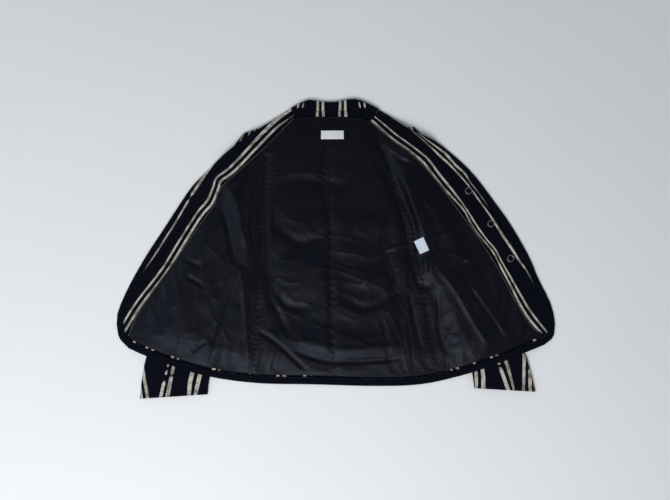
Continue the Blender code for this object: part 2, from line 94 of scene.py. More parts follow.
# Relief of the lining: how much its listed folds rise and how much of their length fades
# out, the room given to valleys and how softly they bottom out, and how far from the outer
# edge the room, the folds and the dimples are full
FOLD_SHARE = 1.35
FOLD_FADE = 0.25
VALLEY_ROOM = 0.0038
VALLEY_SOFTNESS = 0.0005
ROOM_RIM = 0.045
FOLD_RIM = 0.016
CRUMPLE_RIM = 0.007

# Dimples of the lining: where the back's middle and its sides are, how far beside them the
# fronts' own dimples set in, and where the calmer upper back starts and is calmest
BACK_MIDDLE = -0.005
BACK_HALF = 0.10
FRONT_SETS_IN = 0.06
CALM_FROM = 0.02
CALM_OVER = 0.10

# Gathers: radians a metre in which they rise unevenly and wander along a seam, and how far
# from it the folds are held down
RISE_TURNS = (41, 97)
WANDER_TURNS = 53
HELD_REACH = 0.009

# Seams: the gap within which two cloths share one and the spacing of its points, the steps
# along an edge, the gap that panels close and their share of it, and how far beside a seam
# and by how many of its points their heights are levelled
SEAM_WITHIN = 0.0016
SEAM_SPACING = 0.004
EDGE_STEP = 0.002
SEAM_STEP = 0.0006
SEAM_REACH = 0.0030
SEAM_SHARE = 0.68
SEAM_SLOPE = 0.022
SEAM_NEIGHBOURS = 5

# Layers: a label's height over the lining, how far under the lining and how far beside a
# valley the outer cloth keeps, and how much wider than its solid the neck's cloth is
LABEL_GAP = 0.0007
UNDER_LINING = 0.0016
UNDER_REACH = 0.0035
NECK_WIDENING = 1.018

# A cut piece of cloth: its CAD node, the size it was cut to, and how it is laid
Cut = namedtuple("Cut", "node width length area thickness slot rests_on")
CUTS = (
    Cut("back_shell", 0.396, 0.528, 0.174, 1.6, "tweed", "floor"),
    Cut("front_shell_right", 0.300, 0.590, 0.088, 1.6, "tweed", "sleeve_top_right"),
    Cut("front_shell_left", 0.300, 0.580, 0.086, 1.6, "tweed", "sleeve_top_left"),
    Cut("facing_right", 0.062, 0.560, 0.0172, 1.4, "tweed", "front_shell_right"),
    Cut("facing_left", 0.075, 0.560, 0.0243, 1.4, "tweed", "front_shell_left"),
    Cut("lining_front_right", 0.225, 0.590, 0.058, 1.2, "satin", "front_shell_right"),
    Cut("lining_front_left", 0.210, 0.580, 0.052, 1.2, "satin", "front_shell_left"),
    Cut("lining_side_right", 0.085, 0.222, 0.0124, 1.2, "satin", "front_shell_right"),
    Cut("lining_side_left", 0.076, 0.226, 0.0097, 1.2, "satin", "front_shell_left"),
    Cut("lining_back_right", 0.172, 0.524, 0.0691, 1.2, "satin", "back_shell"),
    Cut("lining_back_left", 0.245, 0.526, 0.0841, 1.2, "satin", "back_shell"),
    Cut("sleeve_under_right", 0.215, 0.580, 0.0574, 2.0, "tweed", "floor"),
    Cut("sleeve_under_left", 0.200, 0.560, 0.0485, 2.0, "tweed", "floor"),
    Cut("sleeve_top_right", 0.215, 0.580, 0.0575, 2.0, "tweed", "sleeve_under_right"),
    Cut("sleeve_top_left", 0.200, 0.560, 0.0487, 2.0, "tweed", "sleeve_under_left"),
    Cut("neck_facing", 0.168, 0.0135, 0.0022, 1.6, "tweed", "floor"),
    Cut("collar", 0.180, 0.030, 0.0036, 2.4, "tweed", "floor"),
    Cut("edge_band_right", 0.850, 0.020, 0.0160, 2.4, "band", "front_shell_right"),
    Cut("edge_band_hem", 0.402, 0.020, 0.0072, 2.4, "band", "floor"),
    Cut("edge_band_left", 0.810, 0.020, 0.0148, 2.4, "band", "front_shell_left"),
    Cut("label_neck", 0.046, 0.018, 0.0008, 0.6, "label", "lining_back_right"),
    Cut("label_care", 0.020, 0.034, 0.0006, 0.6, "label", "lining_front_left"),
)
CUT_OF = {cut.node: cut for cut in CUTS}

# A stripe on a piece: its place across the cloth, the line that it follows, how far
# beside that line it lies, and its width from the hem upwards as (height, share)
Line = namedtuple("Line", "at route shift widths")
FULL = ((0, 1.0),)
EDGE = ((0, 0.82),)
NONE = ((0, 0.0),)

RIGHT_EDGE = (
    (-99, 273), (-124, 253), (-153, 223), (-195, 177), (-217, 156), (-239, 140), (-246, 120),
    (-257, 94), (-279, 68), (-316, 9), (-348, -44), (-395, -105), (-425, -153),
)
RIGHT_FRONT = (
    (-254, 158), (-280, 119), (-295, 95), (-318, 54), (-337, 24), (-364, -19), (-380, -42),
)
RIGHT_FADE = (
    (-55, 0), (-42, 0.15), (-19, 0.5), (24, 0.7), (92, 0.75), (96, 0.1), (102, 0.1), (108, 1.0),
    (158, 1.1),
)
LEFT_EDGE = (
    (80, 263), (103, 244), (123, 226), (145, 210), (166, 194), (185, 178), (203, 153),
    (219, 133), (232, 117), (253, 89), (266, 69), (284, 41), (301, 17), (319, -4), (330, -26),
    (343, -49), (362, -83), (381, -116), (400, -143), (417, -164),
)
LEFT_EDGE_INNER = (
    (71, 258), (95, 235), (115, 217), (137, 201), (158, 185), (176, 169), (193, 147),
    (209, 126), (235, 98), (257, 74), (269, 51), (280, 33), (298, 12), (316, -11), (331, -41),
    (349, -76), (371, -121), (390, -149), (411, -173),
)
LEFT_FRONT = (
    (143, 244), (164, 226), (187, 205), (209, 184), (229, 167), (248, 147), (269, 123),
    (289, 94), (309, 67), (323, 44), (341, 15), (357, -9), (367, -26), (381, -45), (393, -68),
)
LEFT_FRONT_OUTER = (
    (166, 228), (187, 213), (205, 201), (223, 187), (241, 165), (259, 149), (269, 133),
    (287, 110), (306, 82),
)
LEFT_EDGE_WIDTHS = ((-164, 0.8), (89, 0.8), (150, 0.95), (178, 0.8), (210, 0.6), (263, 0.5))
LEFT_FADE = (
    (-75, 0), (-68, 0.1), (-45, 0.5), (-26, 0.8), (-9, 1.1), (15, 1.1), (44, 0.9), (94, 0.7),
    (147, 0.65), (167, 0.9), (184, 1.0), (205, 0.9), (226, 0.5), (244, 0.3),
)
LEFT_OUTER_FADE = (
    (72, 0), (82, 0.1), (110, 0.35), (133, 0.5), (165, 1.0), (187, 0.9), (213, 0.5), (228, 0.3),
)
AT_COLLAR = ((205, 0), (215, 1.0))
NOT_AT_HEM = ((-175, 0), (-160, 1.0))
NOT_AT_BACK_HEM = ((-240, 0), (-225, 1.0))
COLLAR_END = ((282, 0), (283, 0.7), (292, 0.7), (293, 0))


def pair(at, *route, widths=FULL):
    """Two stripes either side of one line."""
    return (
        Line(at - HALF_PAIR, route, -HALF_PAIR, widths),
        Line(at + HALF_PAIR, route, HALF_PAIR, widths),
    )


def slanted(at, top_x, hem_x, widths=FULL):
    """Pair that runs straight down a front or back."""
    return pair(at, (top_x, 235), (hem_x, -206), widths=widths)


STRIPES = {
    "facing_right": (
        Line(-43.7, RIGHT_FRONT, 0, RIGHT_FADE),
        Line(-6.3, RIGHT_EDGE, 0, EDGE),
        Line(6.3, RIGHT_EDGE, 11.2, EDGE),
    ),
    "edge_band_right": (
        Line(-43.7, RIGHT_FRONT, 0, RIGHT_FADE),
        Line(-6.3, RIGHT_EDGE, 0, AT_COLLAR),
    ),
    "facing_left": (
        Line(-6.3, LEFT_EDGE_INNER, 0.8, EDGE),
        Line(6.3, LEFT_EDGE, 0, LEFT_EDGE_WIDTHS),
        Line(43.7, LEFT_FRONT, 0, LEFT_FADE),
        Line(56.3, LEFT_FRONT_OUTER, 0, LEFT_OUTER_FADE),
    ),
    "edge_band_left": (
        Line(6.3, LEFT_EDGE, 0, NONE),
        Line(43.7, LEFT_FRONT, 0, LEFT_FADE),
        Line(56.3, LEFT_FRONT_OUTER, 0, LEFT_OUTER_FADE),
    ),
    "front_shell_right": (
        Line(-43.7, ((-169, 235), (-410, -206)), 0, FULL),
        *slanted(0, -131, -372),
        *slanted(50, -69, -310),
        *slanted(100, -37, -278, NOT_AT_HEM),
        *slanted(150, 26, -215),
        *slanted(200, 49, -192, NOT_AT_HEM),
    ),
    "front_shell_left": (
        *slanted(-150, -30, 180, NOT_AT_HEM),
        *slanted(-100, 8, 218),
        Line(-56.3, ((54, 235), (264, -206)), 0, FULL),
        Line(-43.7, ((66, 235), (276, -206)), 0, NOT_AT_HEM),
        *slanted(0, 99, 309),
        *slanted(50, 148, 358, NOT_AT_HEM),
        Line(93.7, ((196, 235), (406, -206)), 0, FULL),
    ),
    "back_shell": (
        *slanted(-50, -155, -155, NOT_AT_BACK_HEM),
        *slanted(0, -108.5, -108.5),
        Line(43.7, ((-61, 235), (-61, -206)), 0, FULL),
        Line(56.3, ((-49, 235), (-49, -206)), 0, NOT_AT_BACK_HEM),
        *slanted(100, -10, -10, NOT_AT_BACK_HEM),
        *slanted(150, 36, 36, NOT_AT_BACK_HEM),
        *slanted(200, 82, 82, NOT_AT_BACK_HEM),
        *slanted(250, 128, 128, NOT_AT_BACK_HEM),
    ),
    "neck_facing": (
        *pair(0, (-31, 300), (-31, 250), widths=((0, 0.9),)),
        *pair(50, (14, 300), (14, 250), widths=((0, 0.9),)),
    ),
    "collar": (
        Line(-56.3, ((-72, 300), (-77, 280)), 0, COLLAR_END),
        Line(-43.7, ((-63, 300), (-68, 280)), 0, COLLAR_END),
        Line(-6.3, ((-36, 300), (-36, 250)), 0, FULL),
        Line(6.3, ((-26, 300), (-26, 250)), 0, FULL),
        Line(43.7, ((9, 300), (9, 250)), 0, FULL),
        Line(56.3, ((19.4, 300), (19.4, 250)), 0, FULL),
        Line(93.7, ((46, 300), (50, 280)), 0, COLLAR_END),
        Line(106.3, ((55, 300), (60, 280)), 0, COLLAR_END),
    ),
    "sleeve_top_right": (
        Line(
            -56.3, ((-206, 203), (-268, 58), (-341, -112), (-386, -241), (-384, -301)), 0,
            ((0, 0.7),),
        ),
        Line(
            -43.7, ((-194, 207), (-256, 62), (-329, -108), (-382, -215), (-372, -301)), 0,
            ((-300, 1.25), (-260, 1.1), (-215, 0.5), (-180, 1.0)),
        ),
        Line(
            -6.3,
            ((-176, 228), (-241, 58), (-306, -132), (-332, -234), (-340, -267), (-348, -299)), 0,
            (
                (-300, 1.2), (-270, 1.1), (-264, 0), (-254, 0), (-251, 0.7), (-246, 0.7),
                (-243, 0), (-239, 0), (-236, 0.5), (-231, 0.5), (-228, 0), (-200, 0),
                (-190, 1.0),
            ),
        ),
        Line(
            6.3, ((-164, 232), (-229, 62), (-294, -128), (-322, -237), (-334, -299)), 0,
            ((-300, 1.2), (-258, 1.2), (-256, 0.2), (-253, 0.2), (-251, 1.1), (-235, 1.0)),
        ),
        Line(
            43.7, ((-169, 148), (-196, 18), (-246, -142), (-285, -250), (-291, -295)), 0,
            ((0, 1.15),),
        ),
        Line(
            56.3, ((-157, 152), (-184, 22), (-234, -138), (-269, -255), (-278, -295)), 0,
            ((0, 1.15),),
        ),
    ),
    "sleeve_top_left": (
        Line(
            -56.3, ((160, 120), (184, 10), (229, -120), (266, -210), (278, -247), (278, -300)), 0,
            ((0, 1.0),),
        ),
        Line(
            -43.7, ((172, 120), (197, 10), (242, -120), (280, -210), (292, -247), (292, -300)), 0,
            ((0, 1.2),),
        ),
        Line(
            -6.3, ((144, 235), (209, 60), (284, -140), (316, -215), (326, -239), (342, -281)), 0,
            ((-300, 1.15), (-240, 1.0), (-237, 0), (-234, 0), (-232, 1.0)),
        ),
        Line(
            6.3, ((156, 235), (221, 60), (296, -140), (335, -220), (345, -249), (353, -281)), 0,
            ((0, 1.0),),
        ),
        Line(
            43.7, ((179, 225), (244, 50), (314, -110), (372, -195), (375, -211), (371, -281)), 0,
            ((0, 1.15),),
        ),
        Line(
            56.3, ((191, 225), (256, 50), (326, -110), (382, -200), (385, -241), (386, -283)), 0,
            ((-300, 1.1), (-244, 1.0), (-240, 0), (-205, 0), (-195, 1.0)),
        ),
    ),
}
STRIPES["sleeve_under_right"] = STRIPES["sleeve_top_right"]
STRIPES["sleeve_under_left"] = STRIPES["sleeve_top_left"]

# Gathers that run off a seam of the lining: how far, how closely, how slanted, how high,
# and how much of the folds the seam holds flat
Gather = namedtuple("Gather", "node beside reach pitch slant height held")
GATHERS = (
    Gather("lining_front_right", "facing_right", 0.012, 0.0095, 0.25, 0.0010, 0.8),
    Gather("lining_front_left", "facing_left", 0.012, 0.0095, 0.25, 0.0010, 0.8),
    Gather("lining_back_right", "lining_back_left", 0.014, 0.0170, 0.90, 0.0009, 0.35),
    Gather("lining_back_right", "lining_front_right", 0.010, 0.0110, 0.40, 0.0009, 0.3),
    Gather("lining_back_left", "lining_front_left", 0.010, 0.0110, 0.40, 0.0009, 0.3),
    Gather("lining_back_right", "neck_facing", 0.009, 0.0060, 0.05, 0.0008, 0.6),
    Gather("lining_back_left", "neck_facing", 0.009, 0.0060, 0.05, 0.0008, 0.6),
)

# Hand stitches on the lining: the seam they run along, their pitch and size and how far they
# lie from it, and a stitch's length, width and height for a size of 1
STITCH_SHAPE = Vector((1.35, 0.95, 0.7))
Stitching = namedtuple("Stitching", "name node beside pitch inward size tone")
STITCHES = (
    Stitching("right_prick_stitches", "lining_front_right", "facing_right", 3.8, 1.1, 0.62, "beige"),
    Stitching("left_prick_stitches", "lining_front_left", "facing_left", 3.8, 1.1, 0.62, "beige"),
    Stitching("neck_stitches_right", "lining_back_right", "neck_facing", 3.4, 1.6, 0.5, "grey"),
    Stitching("neck_stitches_left", "lining_back_left", "neck_facing", 3.4, 1.6, 0.5, "grey"),
)

# Folds of the lining from start by way of a bend to the end, their height above 0 for a ridge
Fold = namedtuple("Fold", "start_x start_y bend_x bend_y end_x end_y height half_width")
FOLDS = (
    # right front
    Fold(-219, 135, -195, 85, -179, -5, 3.6, 17),
    Fold(-227, 85, -213, 25, -199, -41, -2.4, 10),
    Fold(-189, -29, -181, -105, -173, -237, 3.0, 8),
    Fold(-159, 195, -163, 95, -163, -15, -2.4, 11),
    Fold(-215, 159, -171, 185, -121, 195, 2.6, 10),
    Fold(-215, 151, -181, 165, -147, 195, 1.8, 9),
    Fold(-307, -19, -285, -31, -263, -41, -2.0, 9),
    Fold(-299, -57, -279, -67, -259, -81, -1.7, 8),
    Fold(-191, -63, -213, -113, -251, -221, -1.8, 7),
    Fold(-287, -209, -271, -195, -255, -187, -1.8, 8),
    Fold(-166, 170, -156, 70, -147, -70, -6.0, 22),
    # back
    Fold(-143, 215, -143, 65, -137, -95, -3.2, 13),
    Fold(-135, -89, -113, -135, -93, -177, -2.2, 11),
    Fold(-167, -161, -121, -187, -49, -253, -2.0, 8),
    Fold(-101, -201, -1, -227, 151, -219, -2.4, 9),
    Fold(-91, -181, 9, -205, 149, -195, 1.6, 14),
    Fold(-127, 119, -71, 135, 33, 119, -1.5, 18),
    Fold(-121, 39, -71, 9, -11, 31, -1.6, 17),
    Fold(-1, -89, 59, -121, 129, -85, -2.2, 15),
    Fold(-135, -75, -95, -115, -51, -121, -1.6, 14),
    Fold(-11, 195, -11, -5, -11, -225, -0.9, 7),
    Fold(95, -7, 125, 1, 153, 11, 1.4, 6),
    Fold(49, -81, 73, -49, 101, -21, 1.4, 6),
    Fold(143, -81, 157, -145, 171, -211, -1.2, 7),
    # left front
    Fold(104, 150, 142, 60, 164, -62, -6.0, 19),
    Fold(73, 251, 125, 115, 157, -5, -2.8, 13),
    Fold(155, -29, 169, -75, 201, -75, -2.4, 12),
    Fold(79, 215, 119, 195, 169, 165, 2.2, 11),
    Fold(119, 175, 159, 165, 193, 139, -1.8, 9),
    Fold(133, 155, 153, 85, 177, 15, 2.6, 14),
    Fold(215, -43, 239, -39, 265, -27, -1.8, 8),
    Fold(197, -35, 239, -89, 307, -205, 2.0, 9),
    Fold(257, -69, 299, -129, 339, -187, -1.6, 7),
    Fold(203, -85, 209, -177, 225, -221, -1.8, 8),
    Fold(177, -15, 179, -41, 177, -61, 2.4, 9),
)

# A snap's finishes, and the outlines that it is turned from as radius and height
METAL, DARK = 0, 1
SNAP_STEPS = 40
SOCKET = (
    (
        METAL,
        (
            (5.55, 0.75), (5.6, 1.5), (5.95, 1.95), (6.35, 2.0), (6.75, 1.7), (6.98, 1.1),
            (7.0, 0.5), (6.9, 0.0),
        ),
    ),
    (
        DARK,
        (
            (0, 0.35), (1.5, 0.35), (1.75, 0.9), (2.1, 1.0), (2.5, 0.9), (4.6, 0.8),
            (5.55, 0.75),
        ),
    ),
    (DARK, ((6.9, 0.0), (0, 0.0))),
)
STUD = (
    (
        METAL,
        (
            (0, 1.7), (5.6, 1.7), (6.1, 1.62), (6.4, 1.45), (6.5, 1.2), (6.3, 1.05), (3.0, 0.9),
            (2.7, 0.7), (2.6, 0.4), (2.3, 0.15), (1.8, 0.1), (0, 0.1),
        ),
    ),
)

# Colours of the cloths, tapes, threads, snaps and floor, and of the light
NAVY = (0.0009, 0.0018, 0.0085, 1)
NAVY_DEEP = (0.0004, 0.0008, 0.0040, 1)
SILVER = (0.96, 0.92, 0.85, 1)
BRONZE = (0.17, 0.135, 0.10, 1)
SATIN = (0.0012, 0.0016, 0.0046, 1)
SATIN_WARM = (0.0019, 0.0018, 0.0040, 1)
TAPE_WHITE = (0.80, 0.80, 0.79, 1)
TAPE_BLUE = (0.60, 0.68, 0.76, 1)
THREAD_BEIGE = (0.42, 0.37, 0.29, 1)
THREAD_GREY = (0.06, 0.06, 0.08, 1)
SNAP_RIM = (0.42, 0.40, 0.37, 1)
SNAP_DISH = (0.010, 0.010, 0.014, 1)
FLOOR_SHADE = (0.76, 0.78, 0.80, 1)
FLOOR_PALE = (0.80, 0.81, 0.82, 1)
SKY = (0.82, 0.91, 1.0, 1)
SKY_STRENGTH = 0.12
WHITE = (1, 1, 1)
DAYLIGHT = (0.86, 0.93, 1.0)

# Soft lamps: where each stands, what it points at, its size, power and colour
Lamp = namedtuple("Lamp", "name place aim size power colour")
LAMPS = (
    Lamp("window", (-0.6, -1.45, 1.75), (0, -0.1, 0), 1.5, 49, WHITE),
    Lamp("left_wall", (-2.5, 0.3, 1.2), (0, 0.1, 0), 2.0, 20, DAYLIGHT),
    Lamp("right_wall", (2.5, 0.3, 1.2), (0, 0.1, 0), 2.0, 11, DAYLIGHT),
    Lamp("far_wall", (0, 2.6, 1.2), (0, 0.1, 0), 2.0, 12, DAYLIGHT),
)
FLOOR_SIZE = 12.0
FLOOR_HEIGHT = -0.0002

# Camera: the photograph's frame is 1.34 m wide on the floor
VIEW_WIDTH = 1.34
ELEVATION = 86.0
DISTANCE = 2.4
AIM = Vector((-0.0014, -0.0048, 0.004))
SENSOR = 36.0


def ramp(share):
    """Smooth step from 0 to 1."""
    t = np.clip(share, 0.0, 1.0)
    return t * t * (3 - 2 * t)


def bell(share):
    """1 at the middle, 0 from a share of 1 on."""
    return 0.5 * (1 + np.cos(pi * np.clip(np.abs(share), 0.0, 1.0)))


def within_one(value):
    """Number kept from 0 to 1."""
    return min(1.0, max(0.0, value))


def along_route(points, route):
    """Signed distance beside a route, above 0 to its left, and the distance along it."""
    beside = np.full(len(points), np.inf)
    along = np.zeros(len(points))
    start_at = 0.0
    for index in range(len(route) - 1):
        start = np.array(route[index], float)
        way = np.array(route[index + 1], float) - start
        length = float(np.hypot(*way))
        way /= length
        to = points - start
        run = to @ way
        low = -np.inf if index == 0 else 0.0
        high = np.inf if index == len(route) - 2 else length
        held = np.clip(run, low, high)
        off = to - held[:, None] * way
        side = np.where(way[0] * to[:, 1] - way[1] * to[:, 0] < 0, -1.0, 1.0)
        gap = np.hypot(off[:, 0], off[:, 1])
        nearer = gap < np.abs(beside)
        beside = np.where(nearer, side * gap, beside)
        along = np.where(nearer, start_at + held, along)
        start_at += length
    return beside, along


def smooth_route(table, steps=8):
    """Curve in metres through a few points in millimetres."""
    points = [Vector(row) * MM for row in table]
    ends = [2 * points[0] - points[1]] + points + [2 * points[-1] - points[-2]]
    curve = []
    for before, start, end, after in zip(ends, ends[1:], ends[2:], ends[3:]):
        for step in range(steps):
            t = step / steps
            leave = (end - before) / 2
            arrive = (after - start) / 2
            curve.append(
                start * (2 * t**3 - 3 * t**2 + 1)
                + leave * (t**3 - 2 * t**2 + t)
                + end * (3 * t**2 - 2 * t**3)
                + arrive * (t**3 - t**2)
            )
    return curve + [points[-1]]


def upper_side(node):
    """Upper side of a node's cloth, merged."""
    sheet = bmesh.new()
    sheet.from_mesh(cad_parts[node].data)
    bmesh.ops.remove_doubles(sheet, verts=sheet.verts, dist=MERGE)
    sheet.normal_update()
    rest = [face for face in sheet.faces if face.normal.z < UPPER]
    bmesh.ops.delete(sheet, geom=rest, context="FACES")
    return sheet


def cut_finer(sheet, cell, below=None):
    """Cuts long edges in two, everywhere or only below a height on the garment."""
    for _ in range(PASSES):
        long = [
            edge for edge in sheet.edges
            if edge.calc_length() > LONG_EDGE * cell
            and (below is None or min(vert.co.y for vert in edge.verts) < below)
        ]
        if not long:
            break
        bmesh.ops.subdivide_edges(sheet, edges=long, cuts=1)
        bmesh.ops.triangulate(sheet, faces=list(sheet.faces), ngon_method="BEAUTY")


def even_out(sheet):
    """Evens a sheet's height out."""
    for _ in range(EVENING):
        bmesh.ops.smooth_vert(sheet, verts=sheet.verts, factor=0.5, use_axis_z=True)


def refine(sheet, cells):
    """Cuts a sheet to smaller and smaller cells and evens its height out on the way."""
    for cell in cells:
        cut_finer(sheet, cell)
        even_out(sheet)


def places(sheet):
    """Places of a sheet's points as an array, in metres."""
    return np.array([vert.co[:] for vert in sheet.verts])


def lift(sheet, heights):
    """Raises each point of a sheet by its own height."""
    for vert, height in zip(sheet.verts, heights):
        vert.co.z += height


def roll_rim(sheet, rim):
    """Rolls the cut edge of a sheet down."""
    for width in (rim.inner, rim.outer):
        bmesh.ops.inset_region(
            sheet, faces=list(sheet.faces), thickness=width, use_boundary=True,
            use_even_offset=False,
        )
    outer = {vert for vert in sheet.verts if vert.is_boundary}
    inner = {edge.other_vert(vert) for vert in outer for edge in vert.link_edges} - outer
    for ring, drop in ((outer, rim.edge_drop), (inner, rim.ring_drop)):
        for vert in ring:
            vert.co.z -= drop


def width_share(heights, widths):
    """Share of its width that a stripe has at each height on the garment in metres."""
    stations = [height * MM for height, _ in widths]
    return np.interp(heights, stations, [share for _, share in widths])


def stripe_field(at, lines):
    """Place across the cloth in metres, and the share of its width that a stripe has."""
    offs = [
        along_route(at, smooth_route(line.route, 4))[0] - line.shift * MM for line in lines
    ]
    marks = [line.at * MM for line in lines]
    across = marks[0] + offs[0]
    share = width_share(at[:, 1], lines[0].widths)
    nearest = np.abs(offs[0])
    for index, (line, off) in enumerate(zip(lines, offs)):
        past = off >= 0
        if index + 1 < len(lines):
            span = np.maximum(off - offs[index + 1], MERGE)
            here = marks[index] + (marks[index + 1] - marks[index]) * off / span
        else:
            here = marks[index] + off
        across = np.where(past, here, across)
        closer = np.abs(off) < nearest
        nearest = np.where(closer, np.abs(off), nearest)
        share = np.where(closer, width_share(at[:, 1], line.widths), share)
    outside = (offs[0] < -BEYOND) | (offs[-1] > BEYOND)
    return across, np.where(outside, 0.0, share)


def lay_grain(sheet, node):
    """Weave coordinates in metres along the run of the stripes, and the stripes' widths."""
    cloth = sheet.loops.layers.uv.new("cloth")
    width = sheet.verts.layers.float.new("stripe_width")
    at = places(sheet)[:, :2]
    across, along = at[:, 0], at[:, 1]
    share = np.zeros(len(at))
    lines = STRIPES.get(node)
    if lines:
        across, share = stripe_field(at, lines)
        middle = lines[len(lines) // 2]
        along = along_route(at, smooth_route(middle.route, 4))[1]
    sheet.verts.index_update()
    for vert in sheet.verts:
        vert[width] = share[vert.index]
    for face in sheet.faces:
        for loop in face.loops:
            index = loop.vert.index
            loop[cloth].uv = (across[index], along[index])


def close_wall(sheet, thickness, crisp):
    """Gives a sheet its thickness straight down, but nowhere below the floor."""
    edges = [edge for edge in sheet.edges if edge.is_boundary]
    for vert in sheet.verts:
        vert.co.z = max(vert.co.z, 2 * LEAST_WALL)
    bmesh.ops.reverse_faces(sheet, faces=list(sheet.faces))
    made = bmesh.ops.extrude_face_region(sheet, geom=list(sheet.faces), use_keep_orig=True)
    for part in made["geom"]:
        if isinstance(part, bmesh.types.BMVert):
            part.co.z = max(part.co.z - thickness, 0.0)
    if crisp:
        for edge in edges:
            edge.smooth = False


def add_piece(name, sheet, *finishes):
    """Piece that rides with the garment, made from a bmesh."""
    for face in sheet.faces:
        face.smooth = True
    mesh = bpy.data.meshes.new(name)
    sheet.to_mesh(mesh)
    sheet.free()
    for finish in finishes:
        mesh.materials.append(finish)
    piece = bpy.data.objects.new(name, mesh)
    bpy.context.scene.collection.objects.link(piece)
    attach(piece, "root")
    return piece


def make_cloth(name, sheet, cut, finish, crisp=False):
    """Finished piece of cloth in place of its CAD node."""
    close_wall(sheet, cut.thickness * MM, crisp)
    lay_grain(sheet, cut.node)
    piece = add_piece(name, sheet, finish)
    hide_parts(cut.node)


def edge_points(node, step=EDGE_STEP):
    """Points along the edge of a node's upper side, about a step apart."""
    sheet = upper_side(node)
    points = []
    for edge in sheet.edges:
        if edge.is_boundary:
            start, end = (vert.co.copy() for vert in edge.verts)
            steps = max(1, round((end - start).length / step))
            points += [start.lerp(end, count / steps) for count in range(steps)]
    sheet.free()
    return points


def tree_of(points):
    """Tree of points as seen from above."""
    tree = KDTree(len(points))
    for index, point in enumerate(points):
        tree.insert((point.x, point.y, 0), index)
    tree.balance()
    return tree


def flat_gap(tree, point):
    """Distance seen from above to the nearest point of a tree."""
    return tree.find((point[0], point[1], 0))[2]


def surface_at(surface, place):
    """Point of a surface straight above or below a place, or None."""
    return surface.ray_cast(place + ABOVE, DOWN)[0]


def seam_between(node, other):
    """Line on a node's edge that runs beside another node's, in order along it."""
    beside = tree_of(edge_points(other))
    found = [point for point in edge_points(node) if flat_gap(beside, point) < SEAM_WITHIN]
    if not found:
        return found
    wide = max(p.x for p in found) - min(p.x for p in found)
    tall = max(p.y for p in found) - min(p.y for p in found)
    found.sort(key=lambda point: point.x if wide > tall else -point.y)
    seam = [found[0]]
    for point in found[1:]:
        if (point.xy - seam[-1].xy).length > SEAM_SPACING:
            seam.append(point)
    return seam


class Wire:
    """Output socket whose operators add Math nodes to its material."""

    def __init__(self, finish, socket):
        self.finish = finish
        self.socket = socket

    def maths(self, operation, *values):
        inputs = {index: value for index, value in enumerate(values)}
        return self.finish.node("ShaderNodeMath", {"operation": operation}, inputs)

    def __add__(self, other):
        return self.maths("ADD", self, other)

    def __radd__(self, other):
        return self.maths("ADD", other, self)

    def __sub__(self, other):
        return self.maths("SUBTRACT", self, other)

    def __rsub__(self, other):
        return self.maths("SUBTRACT", other, self)

    def __mul__(self, other):
        return self.maths("MULTIPLY", self, other)

    def __rmul__(self, other):
        return self.maths("MULTIPLY", other, self)

    def __truediv__(self, other):
        return self.maths("DIVIDE", self, other)

    def __abs__(self):
        return self.maths("ABSOLUTE", self)

    def part(self):
        """What is left over a whole number."""
        return self.maths("FRACT", self)

    def wave(self):
        return self.maths("SINE", self)

    def limited(self):
        return self.maths("MINIMUM", self.maths("MAXIMUM", self, 0.0), 1.0)


class Finish:
    """Material of one of the garment's cloths, threads or metals."""

    def __init__(self, name, **constants):
        self.material = bpy.data.materials.new(name)
        self.material.use_nodes = True
        self.tree = self.material.node_tree
        self.surface = self.tree.nodes["Principled BSDF"]
        for socket, value in constants.items():
            self.surface.inputs[socket.replace("_", " ")].default_value = value

    def node(self, kind, settings=None, inputs=None, output=0):
        """Adds a node with its settings and the values or links of its sockets."""
        node = self.tree.nodes.new(kind)
        for setting, value in (settings or {}).items():
            setattr(node, setting, value)
        for socket, value in (inputs or {}).items():
            self.feed(node.inputs[socket], value)
        return Wire(self, node.outputs[output])

    def feed(self, socket, value):
        if isinstance(value, Wire):
            self.tree.links.new(value.socket, socket)
        else:
            socket.default_value = value

    def cloth(self):
        """Coordinates across and along the cloth, in metres."""
        cloth = self.node("ShaderNodeUVMap", {"uv_map": "cloth"})
        split = self.tree.nodes.new("ShaderNodeSeparateXYZ")
        self.feed(split.inputs[0], cloth)
        return cloth, Wire(self, split.outputs[0]), Wire(self, split.outputs[1])

    def in_place(self):
        return self.node("ShaderNodeTexCoord", output=3)

    def noise(self, where, scale, detail=2.0):
        inputs = {"Vector": where, "Scale": scale, "Detail": detail}
        return self.node("ShaderNodeTexNoise", {"noise_dimensions": "3D"}, inputs)

    def blend(self, share, first, second):
        """First colour where the share is 0, second where it is 1."""
        inputs = {0: share, 6: first, 7: second}
        return self.node("ShaderNodeMix", {"data_type": "RGBA"}, inputs, output=2)

    def step(self, value, low, high):
        """0 up to low, 1 from high on, smooth between."""
        inputs = {"Value": value, "From Min": low, "From Max": high}
        return self.node("ShaderNodeMapRange", {"interpolation_type": "SMOOTHSTEP"}, inputs)

    def bump(self, height, distance):
        inputs = {"Height": height, "Distance": distance, "Strength": 1.0}
        self.show("Normal", self.node("ShaderNodeBump", {}, inputs))

    def show(self, socket, value):
        self.feed(self.surface.inputs[socket], value)


def ripple(value, pitch):
    """Wave from -1 to 1, once a pitch."""
    return (value * (2 * pi / pitch)).wave()


def threads(across, along, pitch):
    """Plain weave: over and under, once a pitch each way."""
    return ripple(across, pitch) * ripple(along, pitch)


def darker(colour, share):
    return tuple(share * part for part in colour[:3]) + (1,)


